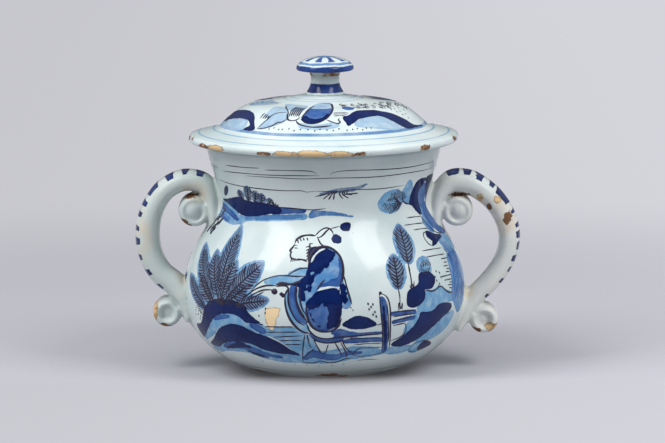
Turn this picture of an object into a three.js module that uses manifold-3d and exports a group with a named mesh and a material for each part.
// Lidded two-handled posset pot of tin-glazed earthenware.
// Millimetres, +Z up. The origin is the centre of the foot, on the surface that the pot stands on.
// +X points to the right handle, and the painted front faces -Y.

import * as THREE from 'three';
import { mergeVertices } from 'three/addons/utils/BufferGeometryUtils.js';
import Module from 'manifold-3d';

const wasm = await Module();
wasm.setup();

// Vessel
const footRadius = 39;
const bellyRadius = 81.3;
const bellyHeight = 45;
const waistRadius = 60.2;
const waistHeight = 98;
const mouthRadius = 67.5;
const mouthHeight = 131.7;
const vesselWall = 5.5;
const floorThickness = 7;
const floorCorner = 5;
const grooveHeight = 6.6;
const grooveWidth = 1.8;
const grooveDepth = 0.6;

// Cover
const rimOverhang = 10.2;
const rimEdgeThickness = 4.7;
const rimSlopeRise = 3.2;
const domeInset = 7.5;
const domeStep = 2.5;
const domeFootHeight = 9;
const domeHeight = 26.6;
const crownRadius = 24;
const crownSlope = 2.2;
const coverWall = 5;
const flangeDepth = 7;
const flangeThickness = 4;
const flangeClearance = 1.6;

// Knob
const knobOffset = 1;
const stemFootRadius = 10.9;
const stemFootEdge = 1.2;
const stemFlareHeight = 3.5;
const stemWaistRadius = 8.2;
const stemWaistHeight = 8.6;
const stemTopRadius = 9.4;
const stemHeight = 12.6;
const capRadius = 16.6;
const capEdgeHeight = 1.8;
const capEdgeReach = 2.4;
const capHeight = 8.8;

// Handles
const strapWidth = 26;
const scrollWidth = 24;
const scrollEdgeRadius = 3.5;
const dimpleRadius = 4.2;
const dimpleDepth = 2;

// Each station is its height, the strap's distance out from the vessel's wall there, and its thickness.
const leftHandle = {
  side: -1,
  stations: [
    [84.0, -3.7, 7.0], [93.0, 2.0, 8.5], [101.5, 4.9, 10.5], [107.8, 8.1, 11.9], [109.5, 18.3, 12.3],
    [104.7, 29.7, 12.7], [96.5, 37.0, 13.3], [86.4, 35.6, 14.0], [75.1, 29.1, 14.3], [64.6, 21.8, 14.1],
    [55.4, 13.9, 13.7], [48.5, 4.9, 13.5], [42.0, 0.3, 11.0], [34.5, -0.2, 7.0], [28.5, 1.0, 5.0],
  ],
  upperScroll: { height: 92.6, out: 12.8, radius: 9.1 },
  lowerScroll: { height: 33.4, out: 11.1, radius: 8.1 },
};
const rightHandle = {
  side: 1,
  stations: [
    [83.0, -3.8, 7.0], [92.0, 2.1, 8.5], [101.0, 6.0, 10.5], [107.6, 11.3, 12.9], [107.8, 18.8, 13.9],
    [105.6, 25.7, 14.0], [98.5, 36.2, 13.6], [89.1, 39.4, 13.3], [77.9, 35.5, 12.7], [66.7, 28.5, 11.9],
    [57.4, 21.3, 11.7], [49.0, 13.6, 11.6], [42.2, 6.7, 11.0], [35.5, 2.2, 10.5], [29.0, 1.8, 8.0],
    [22.0, 2.1, 5.0],
  ],
  upperScroll: { height: 91.6, out: 14.2, radius: 8.9 },
  lowerScroll: { height: 28.4, out: 13.7, radius: 8.2 },
};

// Fits and fineness
const seatGap = 0.3;
const turns = 48;
const knobTurns = 26;
const scrollTurns = 24;
const strapSteps = 42;
const strapSides = 14;

const at = (radius, height) => new THREE.Vector2(radius, height);

// Vessel outline
// Three smooth stretches: foot to belly, belly to waist, waist to lip. The handle lengths are shares of each stretch.
const footSpread = 0.423;
const footRise = 0.093;
const lowerFullness = 0.618;
const upperFullness = 0.545;
const waistHold = 0.19;
const neckHold = 0.25;
const mouthHold = 0.24;
const mouthLean = 1;

function vesselCurves() {
  const lipHeight = mouthHeight - vesselWall / 2;
  const spread = bellyRadius - footRadius;
  const shoulder = waistHeight - bellyHeight;
  const neck = lipHeight - waistHeight;
  return [
    new THREE.CubicBezierCurve(
      at(footRadius, 0),
      at(footRadius + footSpread * spread, footRise * bellyHeight),
      at(bellyRadius, bellyHeight * (1 - lowerFullness)),
      at(bellyRadius, bellyHeight),
    ),
    new THREE.CubicBezierCurve(
      at(bellyRadius, bellyHeight),
      at(bellyRadius, bellyHeight + upperFullness * shoulder),
      at(waistRadius, waistHeight - waistHold * shoulder),
      at(waistRadius, waistHeight),
    ),
    new THREE.CubicBezierCurve(
      at(waistRadius, waistHeight),
      at(waistRadius, waistHeight + neckHold * neck),
      at(mouthRadius - mouthLean, lipHeight - mouthHold * neck),
      at(mouthRadius, lipHeight),
    ),
  ];
}

// The outline from the foot's edge to the lip, without the turned groove.
function vesselOutline(steps = [11, 8, 6]) {
  return vesselCurves().flatMap((curve, i) => curve.getPoints(steps[i]).slice(i ? 1 : 0));
}

function radiusAt(outline, height) {
  const next = outline.findIndex((point) => point.y >= height);
  if (next <= 0) return outline[next ? outline.length - 1 : 0].x;
  const below = outline[next - 1];
  const above = outline[next];
  return THREE.MathUtils.mapLinear(height, below.y, above.y, below.x, above.x);
}

// Moves an outline that runs upwards out from its own line, or in where the distance is negative.
function offsetOutline(outline, distance) {
  return outline.map((point, i) => {
    const along = outline[Math.min(i + 1, outline.length - 1)].clone().sub(outline[Math.max(i - 1, 0)]);
    const outward = at(along.y, -along.x).normalize();
    return point.clone().addScaledVector(outward, distance);
  });
}

const fineOutline = vesselOutline([60, 60, 40]);
const wallRadius = (height) => radiusAt(fineOutline, height);

// Quarter and half rounds
function arc(centreRadius, centreHeight, radius, fromDegrees, toDegrees, steps) {
  const points = [];
  for (let i = 0; i <= steps; i += 1) {
    const angle = THREE.MathUtils.degToRad(THREE.MathUtils.lerp(fromDegrees, toDegrees, i / steps));
    points.push(at(centreRadius + radius * Math.cos(angle), centreHeight + radius * Math.sin(angle)));
  }
  return points;
}

// Turned shapes
function turned(profile, segments = turns) {
  const geometry = new THREE.LatheGeometry(profile, segments);
  geometry.rotateX(Math.PI / 2);
  return geometry;
}

function grooveCut(outline) {
  const half = grooveWidth / 2;
  const clear = outline.filter((point) => Math.abs(point.y - grooveHeight) > half + grooveDepth);
  const edges = [
    at(wallRadius(grooveHeight - half), grooveHeight - half),
    at(wallRadius(grooveHeight) - grooveDepth, grooveHeight + grooveDepth),
    at(wallRadius(grooveHeight + half), grooveHeight + half),
  ];
  return [...clear, ...edges].sort((a, b) => a.y - b.y);
}

function vesselInside() {
  const wall = offsetOutline(vesselOutline([8, 7, 5]), -vesselWall);
  const side = wall.filter((point) => point.y > floorThickness + floorCorner);
  const corner = new THREE.QuadraticBezierCurve(
    at(side[0].x - 3 * floorCorner, floorThickness),
    at(side[0].x - floorCorner, floorThickness),
    side[0],
  );
  return [at(0, floorThickness), ...corner.getPoints(3).slice(0, -1), ...side];
}

function vesselBody() {
  const lip = vesselWall / 2;
  const outside = grooveCut(vesselOutline());
  const inside = vesselInside();
  const lipRound = arc(mouthRadius - lip, mouthHeight - lip, lip, 30, 150, 4);
  return turned([
    at(0, 0),
    ...outside,
    ...lipRound,
    ...inside.reverse(),
  ]);
}

// A solid of the vessel's outer shape, grown by a gap, that cuts whatever is luted to the wall.
function vesselBlank(gap) {
  const outline = offsetOutline(vesselOutline(), gap);
  const base = outline[0];
  const top = outline[outline.length - 1];
  return turned([at(0, base.y - strapWidth), at(base.x, base.y - strapWidth), ...outline, at(0, top.y)]);
}

// Cover
// It rests on the lip. The dome's foot and the rim's edge are set out from the mouth.
const coverBase = mouthHeight + seatGap;
const rimRadius = mouthRadius + rimOverhang;
const domeRadius = mouthRadius - domeInset;

function domeCurve() {
  const foot = at(domeRadius, coverBase + domeFootHeight);
  const crown = at(crownRadius, coverBase + domeHeight - crownSlope);
  const reach = (foot.x - crown.x) * 0.45;
  const rise = crown.y - foot.y;
  return new THREE.CubicBezierCurve(
    foot,
    at(foot.x - reach, foot.y + rise * 1.04),
    at(crown.x + reach, crown.y - rise * 0.22),
    crown,
  );
}

function coverDome() {
  const dome = domeCurve().getPoints(9);
  const edge = rimEdgeThickness / 2;
  const inside = offsetOutline(dome, -coverWall);
  const crown = coverBase + domeHeight;
  const rimTop = coverBase + rimEdgeThickness;
  const ledge = at(domeRadius + domeStep, rimTop + rimSlopeRise);
  const seatRadius = stemFootRadius + Math.abs(knobOffset) + seatGap;
  return turned([
    at(0, crown - coverWall),
    at(seatRadius, crown - coverWall),
    ...inside.slice().reverse(),
    at(inside[0].x, coverBase),
    ...arc(rimRadius - edge, coverBase + edge, edge, -90, 90, 6),
    ledge,
    ...dome,
    at(seatRadius, crown),
    at(0, crown),
  ]);
}

function coverFlange() {
  const inside = offsetOutline(fineOutline, -vesselWall);
  const bottom = mouthHeight - flangeDepth;
  const outer = radiusAt(inside, bottom) - flangeClearance;
  const inner = outer - flangeThickness;
  const chamfer = flangeThickness / 4;
  return turned([
    at(inner, mouthHeight),
    at(inner, bottom + chamfer),
    at(inner + chamfer, bottom),
    at(outer - chamfer, bottom),
    at(outer, bottom + chamfer),
    at(outer, mouthHeight),
    at(inner, mouthHeight),
  ]);
}

// Knob
const stemBase = coverBase + domeHeight + seatGap;
const capBase = stemBase + stemHeight + seatGap;

function knobStem() {
  const waist = stemBase + stemWaistHeight;
  const top = stemBase + stemHeight;
  const flare = new THREE.CubicBezierCurve(
    at(stemFootRadius - stemFootEdge / 3, stemBase + stemFootEdge),
    at(THREE.MathUtils.lerp(stemWaistRadius, stemFootRadius, 0.33), stemBase + stemFlareHeight),
    at(stemWaistRadius, waist - stemFlareHeight),
    at(stemWaistRadius, waist),
  );
  const throat = new THREE.QuadraticBezierCurve(
    at(stemWaistRadius, waist),
    at(stemWaistRadius, THREE.MathUtils.lerp(waist, top, 0.75)),
    at(stemTopRadius, top),
  );
  return turned([
    at(0, stemBase),
    at(stemFootRadius, stemBase),
    ...flare.getPoints(6),
    ...throat.getPoints(3).slice(1),
    at(0, top),
  ], knobTurns);
}

function knobCap() {
  const edge = capBase + capEdgeHeight;
  const dome = arc(0, 0, 1, 0, 90, 7).map((p) => at(p.x * capRadius, edge + p.y * (capHeight - capEdgeHeight)));
  const under = new THREE.QuadraticBezierCurve(
    at(capRadius - capEdgeReach, capBase + capEdgeHeight / 4),
    at(capRadius, capBase + capEdgeHeight / 3),
    at(capRadius, edge),
  );
  return turned([
    at(0, capBase),
    at(stemTopRadius, capBase),
    ...under.getPoints(3).slice(0, -1),
    ...dome.slice(0, -1),
    at(0, capBase + capHeight),
  ], knobTurns);
}

// Handles
const roundness = 2.4;
const onSection = (value) => Math.sign(value) * Math.abs(value) ** (2 / roundness);

// Sweeps a rounded strap section along a centreline in the XZ plane. A point holds reach, height and thickness.
function sweptStrap(centreline, side, width) {
  const steps = strapSteps;
  const positions = [];
  const indices = [];
  for (let i = 0; i <= steps; i += 1) {
    const point = centreline.getPoint(i / steps);
    const tangent = centreline.getTangent(i / steps).setZ(0).normalize();
    for (let k = 0; k < strapSides; k += 1) {
      const angle = (k / strapSides) * 2 * Math.PI;
      const across = (point.z / 2) * onSection(Math.cos(angle));
      const deep = (width / 2) * onSection(Math.sin(angle));
      positions.push(side * (point.x - across * tangent.y), deep, point.y + across * tangent.x);
    }
  }
  const quad = (a, b, c, d) => (side > 0 ? indices.push(a, b, c, a, c, d) : indices.push(a, c, b, a, d, c));
  for (let i = 0; i < steps; i += 1) {
    for (let k = 0; k < strapSides; k += 1) {
      const next = (k + 1) % strapSides;
      const here = i * strapSides;
      const there = here + strapSides;
      quad(here + k, there + k, there + next, here + next);
    }
  }
  const last = steps * strapSides;
  for (let k = 1; k < strapSides - 1; k += 1) {
    const first = side > 0 ? [0, k, k + 1] : [0, k + 1, k];
    const end = side > 0 ? [last, last + k + 1, last + k] : [last, last + k, last + k + 1];
    indices.push(...first, ...end);
  }
  const geometry = new THREE.BufferGeometry();
  geometry.setAttribute('position', new THREE.Float32BufferAttribute(positions, 3));
  geometry.setIndex(indices);
  return geometry;
}

// A rolled strap end with its axis along Y: round edges, and a dimple in each face.
function scrollRoll(scroll) {
  const face = scrollWidth / 2;
  const straight = face - scrollEdgeRadius;
  const inner = scroll.radius - scrollEdgeRadius;
  const near = arc(inner, -straight, scrollEdgeRadius, -90, 0, 3);
  const far = arc(inner, straight, scrollEdgeRadius, 0, 90, 3);
  const dimple = arc(0, 0, 1, 0, 90, 2).map((p) => at(p.x * dimpleRadius, p.y * dimpleDepth));
  return new THREE.LatheGeometry([
    ...dimple.map((p) => at(p.x, p.y - face)).reverse(),
    ...near,
    ...far,
    ...dimple.map((p) => at(p.x, face - p.y)),
  ], scrollTurns);
}

function scrollCutter(scroll) {
  const radius = scroll.radius + seatGap;
  return new THREE.CylinderGeometry(radius, radius, 2 * strapWidth, scrollTurns);
}

const scrollPlace = (scroll, side) => [side * (wallRadius(scroll.height) + scroll.out), 0, scroll.height];

// Booleans
function solid(geometry) {
  const bare = geometry.clone();
  bare.deleteAttribute('normal');
  bare.deleteAttribute('uv');
  const merged = mergeVertices(bare, 1e-4);
  const corners = merged.index.array;
  const kept = [];
  for (let i = 0; i < corners.length; i += 3) {
    const [a, b, c] = corners.slice(i, i + 3);
    if (a !== b && b !== c && c !== a) kept.push(a, b, c);
  }
  return new wasm.Manifold(new wasm.Mesh({
    numProp: 3,
    vertProperties: new Float32Array(merged.attributes.position.array),
    triVerts: new Uint32Array(kept),
  }));
}

function geometryOf(manifold) {
  const mesh = manifold.getMesh();
  const geometry = new THREE.BufferGeometry();
  geometry.setAttribute('position', new THREE.BufferAttribute(new Float32Array(mesh.vertProperties), 3));
  geometry.setIndex(new THREE.BufferAttribute(new Uint32Array(mesh.triVerts), 1));
  return geometry;
}

// Finishes
const tinGlaze = { color: 0xc9d6d6, roughness: 0.22, metalness: 0 };
const handleGlaze = { color: 0xc6cec9, roughness: 0.25, metalness: 0 };
const coverGlaze = { color: 0xd3dde0, roughness: 0.22, metalness: 0 };
const knobBlue = { color: 0x2f4a8c, roughness: 0.24, metalness: 0 };

const pot = new THREE.Group();

function add(name, geometry, finish, place = [0, 0, 0]) {
  const mesh = new THREE.Mesh(geometry, new THREE.MeshStandardMaterial(finish));
  mesh.name = name;
  mesh.position.set(...place);
  pot.add(mesh);
}

add('vessel_body', vesselBody(), tinGlaze);

const seatBlank = solid(vesselBlank(seatGap));

function addHandle(handle, name) {
  const line = new THREE.CatmullRomCurve3(
    handle.stations.map(([height, out, thickness]) => new THREE.Vector3(wallRadius(height) + out, height, thickness)),
    false,
    'centripetal',
  );
  let strap = solid(sweptStrap(line, handle.side, strapWidth)).subtract(seatBlank);
  for (const end of ['upperScroll', 'lowerScroll']) {
    const scroll = handle[end];
    const place = scrollPlace(scroll, handle.side);
    strap = strap.subtract(solid(scrollCutter(scroll)).translate(place));
    const roll = solid(scrollRoll(scroll)).translate(place).subtract(seatBlank);
    add(`${name}_${end === 'upperScroll' ? 'upper' : 'lower'}_scroll`, geometryOf(roll), handleGlaze);
  }
  add(`${name}_handle_strap`, geometryOf(strap), handleGlaze);
}

addHandle(leftHandle, 'left');
addHandle(rightHandle, 'right');

add('lid_dome', coverDome(), coverGlaze);
add('lid_flange', coverFlange(), coverGlaze);
add('knob_stem', knobStem(), handleGlaze, [knobOffset, 0, 0]);
add('knob_cap', knobCap(), knobBlue, [knobOffset, 0, 0]);

export default pot;
